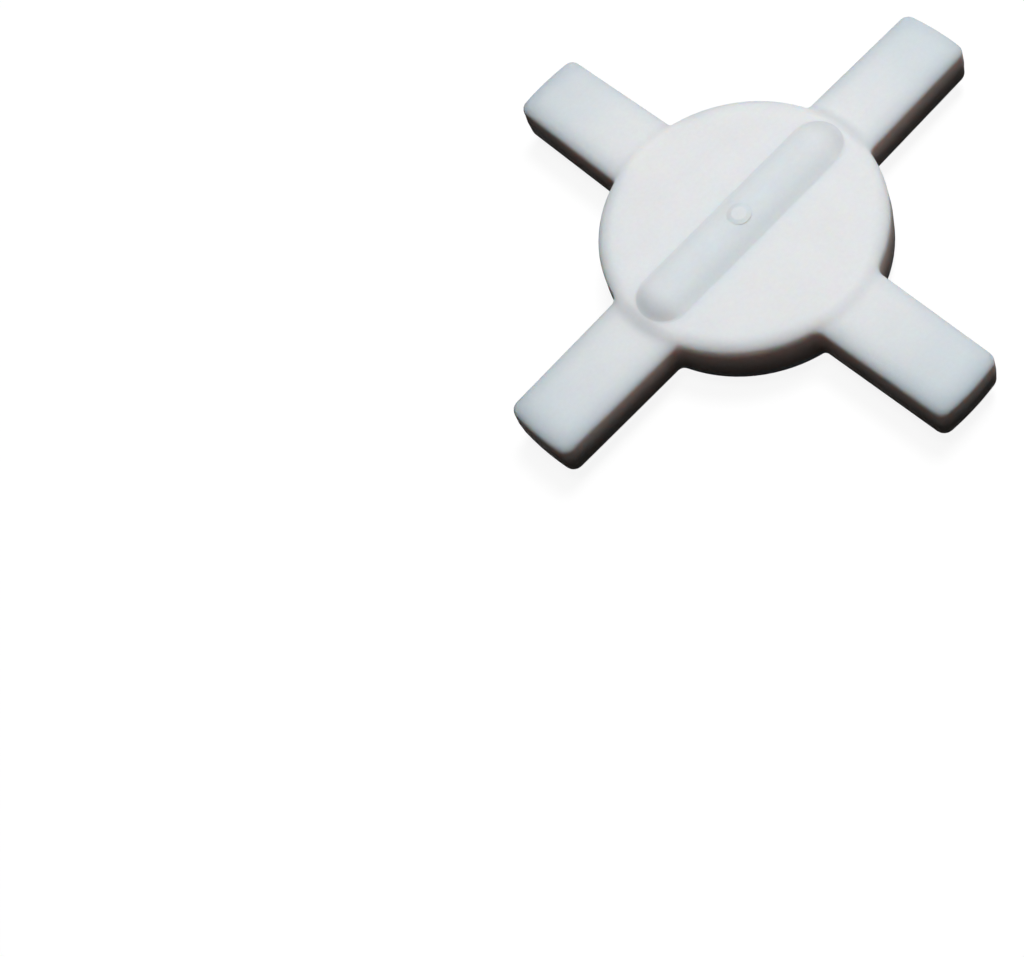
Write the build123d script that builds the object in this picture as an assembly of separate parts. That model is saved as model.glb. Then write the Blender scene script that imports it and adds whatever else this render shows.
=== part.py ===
"""Cross-shaped magnetic stir bar: a white PTFE body moulded round a rod magnet."""

import os
from math import atan2, degrees, hypot, radians, remainder

from build123d import *

# Plan of the body
OVERALL_SPAN = 50.0          # tip to tip: all four arm ends lie on this circle
DISC_DIAMETER = 25.0
ARM_COUNT = 4
ARM_ROOT_WIDTH = 7.3         # where an arm leaves the disc
ARM_TIP_WIDTH = 6.9
TIP_CORNER_RADIUS = 1.0      # corners of an arm's end, seen from above

# Heights of the body, each even about the middle plane
ARM_THICKNESS = 4.2
DISC_THICKNESS = 5.1
WALL_DRAFT = 2.5             # degrees that side walls lean in from the middle plane

# Rounded edges and hollow corners
ARM_EDGE_RADIUS = 0.7
DISC_EDGE_RADIUS = 0.7
ARM_SEAM_RADIUS = 0.8        # hollow corner where an arm meets the disc
RIDGE_SEAM_RADIUS = 0.3      # hollow corner where a ridge meets the disc

# Rod magnet and the round jacket that carries it across the disc
MAGNET_DIAMETER = 5.0
MAGNET_LENGTH = 20.0
MAGNET_END_CHAMFER = 0.5
MAGNET_CLEARANCE = 0.03      # between the magnet and the wall of its pocket
JACKET_WALL = 1.0            # over the round side of the magnet
JACKET_END_WALL = 2.9        # past each end of the magnet

# Low round button on the crest of each ridge: the lower one is the foot that the bar spins on
BUTTON_DIAMETER = 2.1
BUTTON_FLAT_DIAMETER = 1.3   # its level top, inside a sloping border
BUTTON_RISE = 0.12

# Sizes that follow from the ones above
span_radius = OVERALL_SPAN / 2
disc_radius = DISC_DIAMETER / 2
arm_half_thickness = ARM_THICKNESS / 2
disc_half_thickness = DISC_THICKNESS / 2
magnet_radius = MAGNET_DIAMETER / 2
pocket_radius = magnet_radius + MAGNET_CLEARANCE
pocket_length = MAGNET_LENGTH + 2 * MAGNET_CLEARANCE
jacket_radius = pocket_radius + JACKET_WALL
jacket_length = pocket_length + 2 * JACKET_END_WALL
jacket_straight = jacket_length - 2 * jacket_radius
button_height = jacket_radius + BUTTON_RISE
middle_height = button_height        # stands the lower button on z = 0
TOUCH = 1e-4                         # how near counts as lying on a surface


def both_ways(outline, half_height):
    """Extrude an outline up and down from the middle plane, with drafted walls."""
    upper = extrude(outline, half_height, taper=WALL_DRAFT)
    return upper + mirror(upper, about=Plane.XY)


def level_edges(shape, height):
    """Edges that lie flat at this height above and below the middle plane."""
    return [edge for edge in shape.edges() if abs(abs((edge @ 0.5).Z) - height) < TOUCH]


def arm_outline():
    """Plan of the arm along +X: tapering sides and an end on the span circle."""
    lean = (ARM_ROOT_WIDTH - ARM_TIP_WIDTH) / 2 / (span_radius - disc_radius)
    centre_half_width = ARM_ROOT_WIDTH / 2 + lean * disc_radius
    tip_half_width = ARM_TIP_WIDTH / 2
    blade = Polygon(
        (0, -centre_half_width),
        (span_radius, -tip_half_width),
        (span_radius, tip_half_width),
        (0, centre_half_width),
        align=None,
    )
    blade &= Circle(span_radius)
    tip_corners = [vertex for vertex in blade.vertices() if vertex.X > disc_radius]
    return fillet(tip_corners, TIP_CORNER_RADIUS)


def make_arm():
    """The arm along +X. Its root end is hidden in the disc and stays sharp."""
    arm = both_ways(arm_outline(), arm_half_thickness)
    root_x = (arm.edges().sort_by(lambda edge: (edge @ 0.5).X)[0] @ 0.5).X
    long_edges = [
        edge for edge in level_edges(arm, arm_half_thickness)
        if (edge @ 0.5).X > root_x + arm_half_thickness
    ]
    return fillet(long_edges, ARM_EDGE_RADIUS)


def make_disc():
    """Round hub with a drafted rim and a rounded edge on both faces."""
    disc = both_ways(Circle(disc_radius), disc_half_thickness)
    return fillet(level_edges(disc, disc_half_thickness), DISC_EDGE_RADIUS)


def is_arm_seam(edge):
    """Whether an edge runs where an arm comes out of the disc's rim."""
    middle = edge @ 0.5
    radius = hypot(middle.X, middle.Y)
    turn_from_arm = remainder(degrees(atan2(middle.Y, middle.X)), 360 / ARM_COUNT)
    beside_arm = radius * abs(radians(turn_from_arm))
    on_rim = disc_radius - DISC_EDGE_RADIUS < radius < disc_radius + TOUCH
    on_arm = beside_arm < ARM_ROOT_WIDTH / 2 + DISC_EDGE_RADIUS
    return on_rim and on_arm and abs(middle.Z) < arm_half_thickness + TOUCH


def join_arms(disc):
    """Fuse the arms to the disc and round the hollow corners between them."""
    arm = make_arm()
    cross = disc
    for place in range(ARM_COUNT):
        cross += arm.rotate(Axis.Z, 360 / ARM_COUNT * place)
    return fillet([edge for edge in cross.edges() if is_arm_seam(edge)], ARM_SEAM_RADIUS)


def make_jacket():
    """Round-ended rod along X that stands out of both faces of the disc."""
    jacket = Rotation(0, 90, 0) * Cylinder(jacket_radius, jacket_straight)
    for side in (-1, 1):
        jacket += Pos(side * jacket_straight / 2, 0, 0) * Sphere(jacket_radius)
    return jacket


def is_ridge_foot(edge):
    """Whether an edge runs where the jacket comes out of the disc."""
    middle = edge @ 0.5
    past_straight = abs(middle.X) - jacket_straight / 2
    from_axis = hypot(max(past_straight, 0), middle.Y, middle.Z)
    on_jacket = abs(from_axis - jacket_radius) < TOUCH
    on_disc = abs(middle.Z) > disc_half_thickness - DISC_EDGE_RADIUS
    round_end_starts = abs(past_straight) < TOUCH
    return on_jacket and on_disc and not round_end_starts


def join_jacket(cross):
    """Fuse the jacket to the disc and round the hollow corner at each ridge's foot."""
    body = cross + make_jacket()
    return fillet([edge for edge in body.edges() if is_ridge_foot(edge)], RIDGE_SEAM_RADIUS)


def make_buttons():
    """A flat-topped round button for each ridge, its root sunk in the jacket's wall."""
    root_height = pocket_radius + JACKET_WALL / 3
    half_profile = Polygon(
        (0, root_height),
        (BUTTON_DIAMETER / 2, root_height),
        (BUTTON_DIAMETER / 2, jacket_radius),
        (BUTTON_FLAT_DIAMETER / 2, button_height),
        (0, button_height),
        align=None,
    )
    button = revolve(Plane.XZ * half_profile, Axis.Z)
    return [button, mirror(button, about=Plane.XY)]


def chamfered_rod(radius, length):
    """Rod along X with bevelled ends: the magnet, or the space that it fills."""
    rod = Rotation(0, 90, 0) * Cylinder(radius, length)
    return chamfer(rod.edges().filter_by(GeomType.CIRCLE), MAGNET_END_CHAMFER)


def make_body():
    """The moulded body, one solid with the magnet's pocket sealed inside it."""
    body = join_jacket(join_arms(make_disc()))
    for button in make_buttons():
        body += button
    return body - chamfered_rod(pocket_radius, pocket_length)


def make_magnet():
    """The bar magnet, magnetised along its length."""
    return chamfered_rod(magnet_radius, MAGNET_LENGTH)


subparts = {
    "ptfe_body": make_body(),
    "bar_magnet": make_magnet(),
}

os.makedirs("parts", exist_ok=True)
for name, solid in subparts.items():
    export_step(Pos(0, 0, middle_height) * solid, f"parts/{name}.step")
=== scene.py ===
# %% [markdown]
# # Cross-shaped magnetic stir bar
# A stir bar lies in a flask of liquid and is spun by a magnet that turns below the flask. This one
# is a white PTFE cross: a round disc with four flat arms, and a rod magnet sealed in a round-ended
# ridge across the disc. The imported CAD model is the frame, so this lesson is about the finish,
# the light and the camera. All lengths are metres, +X runs along the magnet and +Z points up.

# %% Load the frame
import math
from types import SimpleNamespace

import bpy
from mathutils import Matrix, Vector


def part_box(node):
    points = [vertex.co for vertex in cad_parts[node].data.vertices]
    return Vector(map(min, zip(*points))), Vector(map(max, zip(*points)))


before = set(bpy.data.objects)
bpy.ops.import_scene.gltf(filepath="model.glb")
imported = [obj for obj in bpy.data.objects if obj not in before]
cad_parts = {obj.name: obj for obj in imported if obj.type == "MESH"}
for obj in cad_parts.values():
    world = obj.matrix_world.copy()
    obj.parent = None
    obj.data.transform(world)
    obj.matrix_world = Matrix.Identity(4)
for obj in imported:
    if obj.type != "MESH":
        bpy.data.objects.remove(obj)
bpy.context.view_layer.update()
MM = 0.001
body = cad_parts["ptfe_body"]
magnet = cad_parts["bar_magnet"]

# %% [markdown]
# ## Measures
# The colour changes from place to place: the disc is whiter than the arms, which carry painted
# shade, and the ridge is greyer than both. The boxes of the two pieces give the span and the middle
# plane. The disc and the arms are one solid with the rest, so their sizes are written out.

# %% Places on the body
body_low, body_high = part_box("ptfe_body")
magnet_low, magnet_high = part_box("bar_magnet")
span_radius = (body_high.x - body_low.x) / 2
middle_height = (magnet_low.z + magnet_high.z) / 2
DISC_RADIUS = 12.5 * MM
DISC_HALF_THICKNESS = 2.55 * MM
ARM_HALF_THICKNESS = 2.1 * MM
ARM_HALF_WIDTH = 3.5 * MM
print("span radius", round(span_radius / MM, 2), "mm, middle plane at",
      round(middle_height / MM, 2), "mm")

# %% [markdown]
# ## Camera
# The photograph looks down on the bar from about 57 degrees, past the corner between two arms, in
# the perspective of a 68 mm lens on a 36 mm sensor. The bar also lies turned in the picture. A
# tracking constraint would level the camera, so it is placed by its own axes: where it looks, and
# which way is up in the picture. The bar lies well off the middle of the frame, and its outline
# fits best when the camera looks nearly straight at it. A lens shift moves the frame to the side
# for that and leaves the perspective alone. It stops part of the way, because every other view
# keeps it and the bar has to stay in the frame. Distances are in span radii from the middle of
# the disc.

# %% Camera
SENSOR_WIDTH = 36.0
LENS = 68.39
CAMERA_PLACE = Vector((-1.895, -3.076, 5.543))
CAMERA_FORWARD = Vector((0.2196, 0.4724, -0.8536)).normalized()
LENS_SHIFT = (-0.1376, -0.1423)
CAMERA_UP = Vector((0.6924, 0.5410, 0.4775)).normalized()


def make_camera():
    """Stand the camera at its place, looking along its own -Z with its own +Y up."""
    data = bpy.data.cameras.new("camera")
    data.lens = LENS
    data.sensor_width = SENSOR_WIDTH
    data.clip_start = MM
    data.shift_x, data.shift_y = LENS_SHIFT
    camera = bpy.data.objects.new("camera", data)
    bpy.context.collection.objects.link(camera)
    right = CAMERA_FORWARD.cross(CAMERA_UP).normalized()
    axes = Matrix((right, right.cross(CAMERA_FORWARD), -CAMERA_FORWARD)).transposed()
    place = CAMERA_PLACE * span_radius + Vector((0, 0, middle_height))
    camera.matrix_world = Matrix.Translation(place) @ axes.to_4x4()
    bpy.context.scene.camera = camera
    return camera


camera = make_camera()
print("camera stands", round(camera.location.length / MM), "mm from the foot of the bar")

# %% [markdown]
# ## Node helpers
# Shader trees are easier to read as short sentences, so a few helpers do the wiring: they add a
# node, fill a socket with a link or a value, do one step of arithmetic, fade from 0 to 1 between
# two values, and tint a colour. Every pattern reads Object coordinates, because the objects sit at
# the origin and the pattern then stays on the surface in any view. A Mix node has sockets of the
# same name for each kind of value, so these are found by number.

# %% Helpers for shader trees
COLOUR_UNDER, COLOUR_OVER = 6, 7    # inputs A and B of a Mix node that mixes colours
COLOUR_RESULT = 2                   # its output


def add_node(tree, kind, **settings):
    """Add a node; settings name its properties."""
    node = tree.nodes.new(kind)
    for name, value in settings.items():
        setattr(node, name, value)
    return node


def feed(tree, socket, value):
    """Link a socket to an output, or set it to a plain value."""
    if isinstance(value, bpy.types.NodeSocket):
        tree.links.new(value, socket)
    else:
        socket.default_value = value


def math_node(tree, operation, *values):
    """The output of a math node with these inputs."""
    node = add_node(tree, "ShaderNodeMath", operation=operation)
    for socket, value in zip(node.inputs, values):
        feed(tree, socket, value)
    return node.outputs[0]


def ramp_between(tree, value, low, high):
    """A smooth mask that goes from 0 at low to 1 at high."""
    node = add_node(tree, "ShaderNodeMapRange", interpolation_type="SMOOTHSTEP")
    feed(tree, node.inputs["Value"], value)
    feed(tree, node.inputs["From Min"], low)
    feed(tree, node.inputs["From Max"], high)
    return node.outputs["Result"]


def tint(tree, mask, under, over):
    """Multiply a colour by another one where the mask is 1."""
    node = add_node(tree, "ShaderNodeMix", data_type="RGBA", blend_type="MULTIPLY")
    feed(tree, node.inputs["Factor"], mask)
    feed(tree, node.inputs[COLOUR_UNDER], under)
    feed(tree, node.inputs[COLOUR_OVER], over)
    return node.outputs[COLOUR_RESULT]


print("a mixed colour comes out of socket", COLOUR_RESULT)

# %% [markdown]
# ## Grain, shared by both materials
# The plastic and the magnet's metal are quite different, but both get a fine even grain: tiny
# changes of shade, and a skin that isn't optically flat. One node group makes that from two
# sizes of noise and puts out a shade and a height. Each material takes its own scale.

# %% Grain group
NOISE_DETAIL = 3.0
NOISE_SHARE = 0.5                   # share of each size of noise in the shade


def make_grain_group():
    """Node group: Scale and Coarse Scale in, Shade and Height out, both round 0.5."""
    group = bpy.data.node_groups.new("moulded grain", "ShaderNodeTree")
    group.interface.new_socket("Scale", in_out="INPUT", socket_type="NodeSocketFloat")
    group.interface.new_socket("Coarse Scale", in_out="INPUT", socket_type="NodeSocketFloat")
    group.interface.new_socket("Shade", in_out="OUTPUT", socket_type="NodeSocketFloat")
    group.interface.new_socket("Height", in_out="OUTPUT", socket_type="NodeSocketFloat")
    entry = add_node(group, "NodeGroupInput")
    leave = add_node(group, "NodeGroupOutput")
    place = add_node(group, "ShaderNodeTexCoord").outputs["Object"]
    fine = add_node(group, "ShaderNodeTexNoise")
    coarse = add_node(group, "ShaderNodeTexNoise")
    for noise, size in ((fine, "Scale"), (coarse, "Coarse Scale")):
        feed(group, noise.inputs["Vector"], place)
        feed(group, noise.inputs["Scale"], entry.outputs[size])
        noise.inputs["Detail"].default_value = NOISE_DETAIL
    both = math_node(group, "ADD", fine.outputs["Fac"], coarse.outputs["Fac"])
    feed(group, leave.inputs["Shade"], math_node(group, "MULTIPLY", both, NOISE_SHARE))
    feed(group, leave.inputs["Height"], fine.outputs["Fac"])
    return group


grain_group = make_grain_group()
print("group sockets:", [item.name for item in grain_group.interface.items_tree])


def add_grain(tree, scale, coarse_scale):
    """Place the grain group in a material and return its shade and height."""
    node = add_node(tree, "ShaderNodeGroup", node_tree=grain_group)
    node.inputs["Scale"].default_value = scale
    node.inputs["Coarse Scale"].default_value = coarse_scale
    return node.outputs["Shade"], node.outputs["Height"]


def add_bump(tree, height, distance, strength=1.0, normal=None):
    """Bump normal from a height, with the relief in metres, on top of another normal."""
    bump = add_node(tree, "ShaderNodeBump")
    feed(tree, bump.inputs["Height"], height)
    if normal:
        feed(tree, bump.inputs["Normal"], normal)
    bump.inputs["Distance"].default_value = distance
    bump.inputs["Strength"].default_value = strength
    return bump.outputs["Normal"]


# %% [markdown]
# ## PTFE: where things are
# Sintered PTFE is a cloudy solid: light goes in, scatters and comes out elsewhere. Subsurface
# scattering gives part of what the photograph shows, and the rest is painted as tints on Object
# coordinates, matched to the photograph by comparing colours. Such tints stand for one photograph's
# light, so they stay under any other light, and they are kept small where they can be. A mask is 1
# where a tint belongs and fades out round it. First come the measures that every mask starts from:
# how far out a point is, how far from the middle plane, and how far from the nearest arm's centre
# line.

# %% Measures and shared masks
ARM_STARTS = (0.94 * DISC_RADIUS, 1.12 * DISC_RADIUS)
TOP_STARTS = (0.5 * ARM_HALF_THICKNESS, 0.9 * ARM_HALF_THICKNESS)
RIDGE_RISES = (DISC_HALF_THICKNESS + 0.05 * MM, DISC_HALF_THICKNESS + 0.5 * MM)
RIM_STARTS = (0.86 * DISC_RADIUS, 0.95 * DISC_RADIUS)


def overlap(tree, *masks):
    """Where all of these masks are 1: their product."""
    result = masks[0]
    for mask in masks[1:]:
        result = math_node(tree, "MULTIPLY", result, mask)
    return result


def elsewhere(tree, mask):
    """The other side of a mask."""
    return math_node(tree, "SUBTRACT", 1.0, mask)


def band(tree, value, rise, fall):
    """A mask that rises over one stretch of values and falls again over a later one."""
    risen = ramp_between(tree, value, *rise)
    return math_node(tree, "SUBTRACT", risen, ramp_between(tree, value, *fall))


def find_places(tree):
    """Measures and masks over the body, as named sockets."""
    split = add_node(tree, "ShaderNodeSeparateXYZ")
    feed(tree, split.inputs[0], add_node(tree, "ShaderNodeTexCoord").outputs["Object"])
    x, y, z = split.outputs
    out = SimpleNamespace()
    out.along_ridge = math_node(tree, "ABSOLUTE", x)
    out.across_ridge = math_node(tree, "ABSOLUTE", y)
    out.from_arm_line = math_node(tree, "MINIMUM", out.along_ridge, out.across_ridge)
    squares = math_node(tree, "MULTIPLY_ADD", x, x, math_node(tree, "MULTIPLY", y, y))
    out.radius = math_node(tree, "SQRT", squares)
    out.off_middle = math_node(tree, "ABSOLUTE", math_node(tree, "SUBTRACT", z, middle_height))
    out.on_arms = ramp_between(tree, out.radius, *ARM_STARTS)
    out.on_top = ramp_between(tree, out.off_middle, *TOP_STARTS)
    out.on_ridge = ramp_between(tree, out.off_middle, *RIDGE_RISES)
    past_face = ramp_between(tree, out.radius, *RIM_STARTS)
    out.outside = overlap(tree, past_face, elsewhere(tree, out.on_ridge))
    return out


print("arms start at", [round(radius / MM, 1) for radius in ARM_STARTS], "mm from the axis")

# %% [markdown]
# ## PTFE: painted shade on arms and side walls
# In the photograph the arms are bluer and darker than the disc, more so towards their ends and
# edges. The side walls are warm, beige at the top and nearly black at the foot. Both are painted
# shade: one tint for the arms and one for the walls follow that. The walls' painted shade is the
# strongest of all the tints.

# %% Painted shade for arms and walls
PTFE_COLOUR = (0.855, 0.868, 0.885, 1.0)
# painted shade: the arms darker and bluer than the disc, more at their tips and edges
ARM_ROOT_SHADE = (0.975, 0.985, 0.985, 1.0)
ARM_TIP_SHADE = (0.865, 0.915, 0.94, 1.0)
ARM_EDGE_SHADE = (0.93, 0.96, 0.985, 1.0)
ARM_SIDES = (0.5 * ARM_HALF_WIDTH, ARM_HALF_WIDTH)
ARM_ENDS = (0.92 * span_radius, span_radius)
# painted shade: the side walls darker and warmer than the tops
WALL_SHADE = (0.84, 0.68, 0.6, 1.0)


def paint_arm_shade(tree, places, colour):
    """Paint shade on the arms, darker and bluer from root to tip and at their edges."""
    to_tip = ramp_between(tree, places.radius, DISC_RADIUS, span_radius)
    to_side = ramp_between(tree, places.from_arm_line, *ARM_SIDES)
    to_end = ramp_between(tree, places.radius, *ARM_ENDS)
    near_edge = math_node(tree, "MAXIMUM", to_side, to_end)
    # painted shade: the arms darker and bluer than the disc, more at their tips and edges
    colour = tint(tree, places.on_arms, colour, ARM_ROOT_SHADE)
    colour = tint(tree, to_tip, colour, ARM_TIP_SHADE)
    return tint(tree, overlap(tree, near_edge, places.on_top, places.on_arms), colour, ARM_EDGE_SHADE)


def paint_wall_shade(tree, places, colour):
    """Paint warm shade on the side walls of the arms and the rim."""
    wall = overlap(tree, elsewhere(tree, places.on_top), places.outside)
    # painted shade: the side walls darker and warmer than the tops
    return tint(tree, wall, colour, WALL_SHADE)


print("arm tip colour", [round(base * root * tip, 3) for base, root, tip in
                         zip(PTFE_COLOUR[:3], ARM_ROOT_SHADE, ARM_TIP_SHADE)])

# %% [markdown]
# ## PTFE: ridge, and painted shade at its ends, the rim's steps and the button
# The magnet lies about a millimetre under the ridge, and the photograph shows the ridge greyer than
# the disc. It also shows a soft shade at the ridge's ends, another where the rim steps down to each
# arm, and a slightly darker ring round the button. These three are painted shade; what causes them
# isn't known, so they are only copied in strength and place.

# %% Paint for the ridge, and painted shade for its ends, the rim's steps and the button
RIDGE_TINT = (0.945, 0.96, 0.968, 1.0)
# painted shade at the ridge's ends
RIDGE_END_SHADE = (0.8, 0.82, 0.835, 1.0)
RIDGE_ENDS = (0.36 * span_radius, 0.46 * span_radius)
RIDGE_FOOT_RISES = (DISC_HALF_THICKNESS + 0.01 * MM, DISC_HALF_THICKNESS + 0.15 * MM)
RIDGE_FOOT_SHARE = 0.5
BESIDE_RIDGE = (0.4 * ARM_HALF_WIDTH, ARM_HALF_WIDTH)
# painted shade on the rim's step above each arm
RIM_STEP_SHADE = (0.95, 0.95, 0.955, 1.0)
RIM_STEP_RISE = (0.92 * DISC_RADIUS, 0.97 * DISC_RADIUS)
RIM_STEP_FALL = (0.99 * DISC_RADIUS, 1.07 * DISC_RADIUS)
BESIDE_ARM = (0.85 * ARM_HALF_WIDTH, 1.1 * ARM_HALF_WIDTH)
# painted shade: a darker ring round the button
BUTTON_RING_SHADE = (0.94, 0.955, 0.96, 1.0)
BUTTON_RING_RISE = (0.5 * MM, 0.75 * MM)
BUTTON_RING_FALL = (0.95 * MM, 1.25 * MM)


def paint_step_shade(tree, places, colour):
    """Paint shade on the rim's step above each arm, and on the ridge's ends down to that step."""
    on_step = overlap(
        tree, band(tree, places.radius, RIM_STEP_RISE, RIM_STEP_FALL), places.on_top
    )
    above_arm = elsewhere(tree, ramp_between(tree, places.from_arm_line, *BESIDE_ARM))
    # painted shade on the rim's step above each arm
    colour = tint(tree, overlap(tree, on_step, above_arm), colour, RIM_STEP_SHADE)
    past_ridge = elsewhere(tree, ramp_between(tree, places.across_ridge, *BESIDE_RIDGE))
    foot = overlap(tree, on_step, past_ridge, RIDGE_FOOT_SHARE)
    end = overlap(
        tree,
        ramp_between(tree, places.off_middle, *RIDGE_FOOT_RISES),
        ramp_between(tree, places.along_ridge, *RIDGE_ENDS),
    )
    # painted shade at the ridge's ends and down to the rim's step
    return tint(tree, math_node(tree, "MAXIMUM", end, foot), colour, RIDGE_END_SHADE)


def paint_ridge(tree, places, colour):
    """Grey the ridge, and paint a ring of shade round its button."""
    colour = tint(tree, places.on_ridge, colour, RIDGE_TINT)
    ring = band(tree, places.radius, BUTTON_RING_RISE, BUTTON_RING_FALL)
    # painted shade: a darker ring round the button
    return tint(tree, ring, colour, BUTTON_RING_SHADE)


print("ridge ends shade from", [round(length / MM, 1) for length in RIDGE_ENDS], "mm")

# %% [markdown]
# ## PTFE: soft edges
# The photograph's edges look rounded over a wider strip than the frame's fillets, and the larger
# fillets that were tried failed. A Bevel node bends the normals over a wide strip, so the rim and
# the walls turn from light to dark more softly, with no change to the mesh or its outline. It
# would blur the ridge and the button too, so a mask keeps it to the outer rim, the arms and the
# walls.

# %% Soft edges
EDGE_SOFTNESS = 3.5 * MM
BEVEL_SAMPLES = 6
VECTOR_CRISP, VECTOR_SOFT = 4, 5    # inputs A and B of a Mix node that mixes vectors
VECTOR_RESULT = 1                   # its output


def soften_edges(tree, mask):
    """A normal that bends round edges over a wide strip where the mask is 1."""
    soft = add_node(tree, "ShaderNodeBevel", samples=BEVEL_SAMPLES)
    soft.inputs["Radius"].default_value = EDGE_SOFTNESS
    crisp = add_node(tree, "ShaderNodeNewGeometry").outputs["Normal"]
    mix = add_node(tree, "ShaderNodeMix", data_type="VECTOR")
    feed(tree, mix.inputs["Factor"], mask)
    feed(tree, mix.inputs[VECTOR_CRISP], crisp)
    feed(tree, mix.inputs[VECTOR_SOFT], soft.outputs["Normal"])
    return mix.outputs[VECTOR_RESULT]


print("edges turn over", round(EDGE_SOFTNESS / MM, 1), "mm")

# %% [markdown]
# ## PTFE: the material
# Now the parts meet in one Principled BSDF. Scattering is at full weight with a red, green and
# blue reach that falls off, which gives a warm line where light turns to shade. The skin is satin
# with a low specular level, because PTFE has a low index for a plastic. The shared grain makes
# the colour a little cloudy, the polish uneven and the skin finely pebbled.

# %% PTFE material
PTFE_INDEX = 1.35
PTFE_SPECULAR = 0.05
PTFE_SCATTER = 2.0 * MM
PTFE_SCATTER_RGB = (1.0, 0.64, 0.46)
GRAIN_PER_METRE = 2600.0
CLOUD_PER_METRE = 260.0
GRAIN_RELIEF = 0.01 * MM
GRAIN_STRENGTH = 0.5
SHADE_RANGE = (0.3, 0.7)
CLOUD_RANGE = (0.975, 1.025)
ROUGHNESS_RANGE = (0.5, 0.66)


def remap(tree, value, low, high, from_range=(0.0, 1.0)):
    """Stretch a value from one range to another."""
    node = add_node(tree, "ShaderNodeMapRange")
    feed(tree, node.inputs["Value"], value)
    node.inputs["From Min"].default_value, node.inputs["From Max"].default_value = from_range
    node.inputs["To Min"].default_value = low
    node.inputs["To Max"].default_value = high
    return node.outputs["Result"]


def scale_colour(tree, colour, factor):
    """A colour made lighter or darker by a factor."""
    node = add_node(tree, "ShaderNodeVectorMath", operation="SCALE")
    feed(tree, node.inputs[0], colour)
    feed(tree, node.inputs["Scale"], factor)
    return node.outputs["Vector"]


def make_ptfe():
    """White fluoropolymer with deep scattering under a satin skin."""
    material = bpy.data.materials.new("moulded ptfe")
    material.use_nodes = True
    tree = material.node_tree
    skin = tree.nodes["Principled BSDF"]
    places = find_places(tree)
    colour = PTFE_COLOUR
    for paint in (paint_arm_shade, paint_wall_shade, paint_step_shade, paint_ridge):
        colour = paint(tree, places, colour)
    shade, height = add_grain(tree, GRAIN_PER_METRE, CLOUD_PER_METRE)
    cloud = remap(tree, shade, *CLOUD_RANGE, from_range=SHADE_RANGE)
    feed(tree, skin.inputs["Base Color"], scale_colour(tree, colour, cloud))
    feed(tree, skin.inputs["Roughness"], remap(tree, shade, *ROUGHNESS_RANGE))
    soft = soften_edges(tree, places.outside)
    pebbled = add_bump(tree, height, GRAIN_RELIEF, GRAIN_STRENGTH, soft)
    feed(tree, skin.inputs["Normal"], pebbled)
    skin.inputs["IOR"].default_value = PTFE_INDEX
    skin.inputs["Specular IOR Level"].default_value = PTFE_SPECULAR
    skin.inputs["Subsurface Weight"].default_value = 1.0
    skin.inputs["Subsurface Radius"].default_value = PTFE_SCATTER_RGB
    skin.inputs["Subsurface Scale"].default_value = PTFE_SCATTER
    return material


ptfe = make_ptfe()
print(ptfe.name, "has", len(ptfe.node_tree.nodes), "nodes")

# %% [markdown]
# ## Magnet
# The rod is sealed in the body and the photograph doesn't show it, so its material is a guess: a
# cast aluminium, nickel and cobalt alloy, ground round, with fine grinding rings about its length.
# The model can be cut open or made see-through, so the rod has its own finish too.

# %% Magnet material
MAGNET_COLOUR = (0.30, 0.30, 0.31)
STAIN_LIFT = 0.5                    # brings the grain's shade from about 0.5 to about 1
MAGNET_GRAIN_PER_METRE = 4000.0
MAGNET_STAINS_PER_METRE = 700.0
RINGS_PER_METRE = 9000.0
RING_RELIEF = 0.005 * MM
RING_ROUGHNESS = 0.3
SMOOTHEST = 0.25


def make_magnet_alloy():
    """Ground cast magnet alloy with fine rings about +X."""
    material = bpy.data.materials.new("ground alloy")
    material.use_nodes = True
    tree = material.node_tree
    skin = tree.nodes["Principled BSDF"]
    shade, height = add_grain(tree, MAGNET_GRAIN_PER_METRE, MAGNET_STAINS_PER_METRE)
    stain = math_node(tree, "ADD", shade, STAIN_LIFT)
    feed(tree, skin.inputs["Base Color"], scale_colour(tree, MAGNET_COLOUR, stain))
    place = add_node(tree, "ShaderNodeSeparateXYZ")
    feed(tree, place.inputs[0], add_node(tree, "ShaderNodeTexCoord").outputs["Object"])
    rings = add_node(tree, "ShaderNodeTexNoise", noise_dimensions="1D")
    feed(tree, rings.inputs["W"], place.outputs["X"])
    rings.inputs["Scale"].default_value = RINGS_PER_METRE
    ring = rings.outputs["Fac"]
    rough = math_node(tree, "MULTIPLY_ADD", ring, RING_ROUGHNESS, SMOOTHEST)
    feed(tree, skin.inputs["Roughness"], rough)
    relief = math_node(tree, "ADD", ring, height)
    feed(tree, skin.inputs["Normal"], add_bump(tree, relief, RING_RELIEF))
    skin.inputs["Metallic"].default_value = 1.0
    return material


alloy = make_magnet_alloy()
print(alloy.name, "has", len(alloy.node_tree.nodes), "nodes")

# %% [markdown]
# ## Dressing the pieces
# A CAD piece comes with its mesh finished and a plain material in its slot. The mesh is left
# alone, and the slot gets the piece's own finish.

# %% Finish the two pieces


def dress(piece, material):
    """Put one material in every slot of a CAD piece."""
    for slot in piece.material_slots:
        slot.material = material
    print(piece.name, "wears", material.name, "on", len(piece.data.polygons), "faces")


dress(body, ptfe)
dress(magnet, alloy)

# %% [markdown]
# ## Floor
# The picture's ground is pure white, but the side walls of the bar are nearly black, so white
# ground can't be allowed to light them. Light Path tells the rays apart: the camera, reflections
# and transmission see white, and light that bounces finds a dark grey floor. The white is part
# glow and part matte, so the shadow of the bar still falls on it.

# %% Rays that see white


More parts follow.
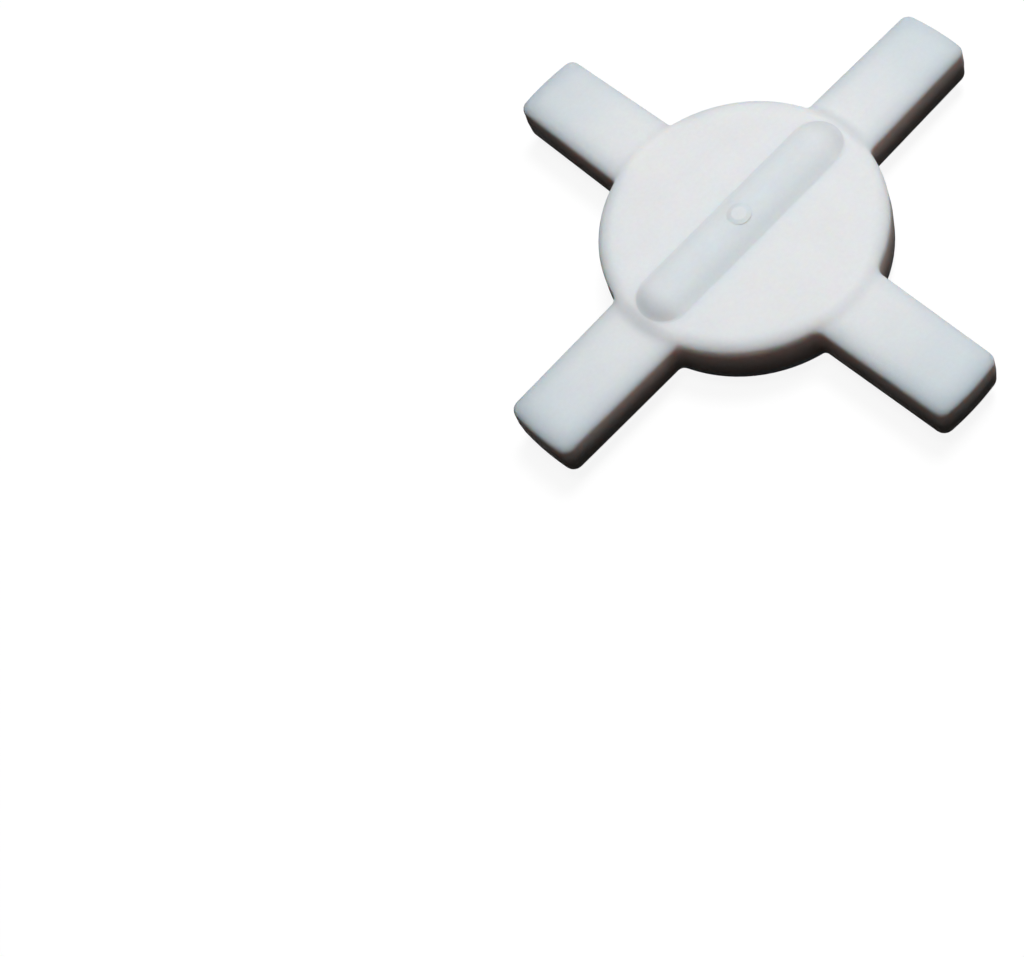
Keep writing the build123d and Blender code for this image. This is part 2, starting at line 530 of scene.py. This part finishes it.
def sees_white(tree):
    """1 for rays from the camera, from a reflection or through something clear."""
    path = add_node(tree, "ShaderNodeLightPath")
    seen = math_node(tree, "MAXIMUM", path.outputs["Is Camera Ray"], path.outputs["Is Glossy Ray"])
    return math_node(tree, "MAXIMUM", seen, path.outputs["Is Transmission Ray"])


def mix_by_ray(tree, hidden, shown, out):
    """Send one shader to bouncing light and the other to the rays that see white."""
    mix = add_node(tree, "ShaderNodeMixShader")
    feed(tree, mix.inputs[0], sees_white(tree))
    feed(tree, mix.inputs[1], hidden.outputs[0])
    feed(tree, mix.inputs[2], shown.outputs[0])
    feed(tree, out.inputs["Surface"], mix.outputs[0])


def grey(shade):
    """A neutral colour, with its alpha."""
    return (shade, shade, shade, 1.0)


print("white is", grey(1.0))

# %% Floor
FLOOR_SIZE = 3.0
FLOOR_GLOW = 0.9
FLOOR_MATTE = 0.14
FLOOR_HIDDEN = 0.02


def make_floor():
    """A wide plain floor on z = 0 that shows white and keeps a soft shadow."""
    bpy.ops.mesh.primitive_plane_add(size=FLOOR_SIZE)
    floor = bpy.context.object
    floor.name = "floor"
    material = bpy.data.materials.new("floor")
    material.use_nodes = True
    tree = material.node_tree
    tree.nodes.clear()
    glow = add_node(tree, "ShaderNodeEmission")
    glow.inputs["Strength"].default_value = FLOOR_GLOW
    matte = add_node(tree, "ShaderNodeBsdfDiffuse")
    matte.inputs["Color"].default_value = grey(FLOOR_MATTE)
    shown = add_node(tree, "ShaderNodeAddShader")
    feed(tree, shown.inputs[0], glow.outputs[0])
    feed(tree, shown.inputs[1], matte.outputs[0])
    hidden = add_node(tree, "ShaderNodeBsdfDiffuse")
    hidden.inputs["Color"].default_value = grey(FLOOR_HIDDEN)
    mix_by_ray(tree, hidden, shown, add_node(tree, "ShaderNodeOutputMaterial"))
    floor.data.materials.append(material)
    return floor


floor = make_floor()
print(floor.name, "is", FLOOR_SIZE, "m wide, and bouncing light finds it at", FLOOR_HIDDEN)

# %% [markdown]
# ## World
# Past the floor's edge the camera sees the world, so it is white as well, by the same rule: the
# same rays see white, and bouncing light finds next to nothing.

# %% World
WORLD_FILL = 0.003


def make_world():
    """White to look at, and only a breath of fill light."""
    world = bpy.data.worlds.new("world")
    bpy.context.scene.world = world
    world.use_nodes = True
    tree = world.node_tree
    tree.nodes.clear()
    hidden = add_node(tree, "ShaderNodeBackground")
    hidden.inputs["Color"].default_value = grey(1.0)
    hidden.inputs["Strength"].default_value = WORLD_FILL
    shown = add_node(tree, "ShaderNodeBackground")
    shown.inputs["Color"].default_value = grey(1.0)
    mix_by_ray(tree, hidden, shown, add_node(tree, "ShaderNodeOutputWorld"))
    return world


world = make_world()
print(world.name, "fills the shadows with", WORLD_FILL)

# %% [markdown]
# ## Light
# The tops in the picture are evenly lit, the ridge is a little brighter at its far end, and the
# walls that face the camera run from beige at the top to black at the foot. So the main softbox
# leans away from the camera, along the ridge. A weaker one hangs nearly overhead and leans a
# little towards the camera: it reaches the upper part of the near walls, where the edge is round,
# and hardly their foot.

# %% Softboxes
LAMP_DISTANCE = 0.45
KEY_SIZE = 0.16
KEY_POWER = 1.4
KEY_TILT = math.radians(18)
KEY_TURN = math.radians(8)
FILL_SIZE = 0.16
FILL_POWER = 0.46
FILL_TILT = math.radians(7)
FILL_TURN = math.radians(245)


def make_softbox(name, size, power, tilt, turn):
    """A round area lamp that leans from straight overhead to one side, and looks at the bar."""
    data = bpy.data.lights.new(name, "AREA")
    data.shape = "DISK"
    data.size = size
    data.energy = power
    lamp = bpy.data.objects.new(name, data)
    bpy.context.collection.objects.link(lamp)
    side = Vector((math.cos(turn), math.sin(turn), 0.0))
    direction = Vector((0, 0, 1)) * math.cos(tilt) + side * math.sin(tilt)
    lamp.location = direction * LAMP_DISTANCE
    lamp.rotation_euler = direction.to_track_quat("Z", "Y").to_euler()
    print(name, "stands at", [round(value, 3) for value in lamp.location])


make_softbox("key softbox", KEY_SIZE, KEY_POWER, KEY_TILT, KEY_TURN)
make_softbox("fill softbox", FILL_SIZE, FILL_POWER, FILL_TILT, FILL_TURN)

# %% [markdown]
# ## Finish
# The Standard view adds no film curve, and the tints were matched to the photograph with it.

# %% Finish
bpy.context.scene.view_settings.view_transform = "Standard"
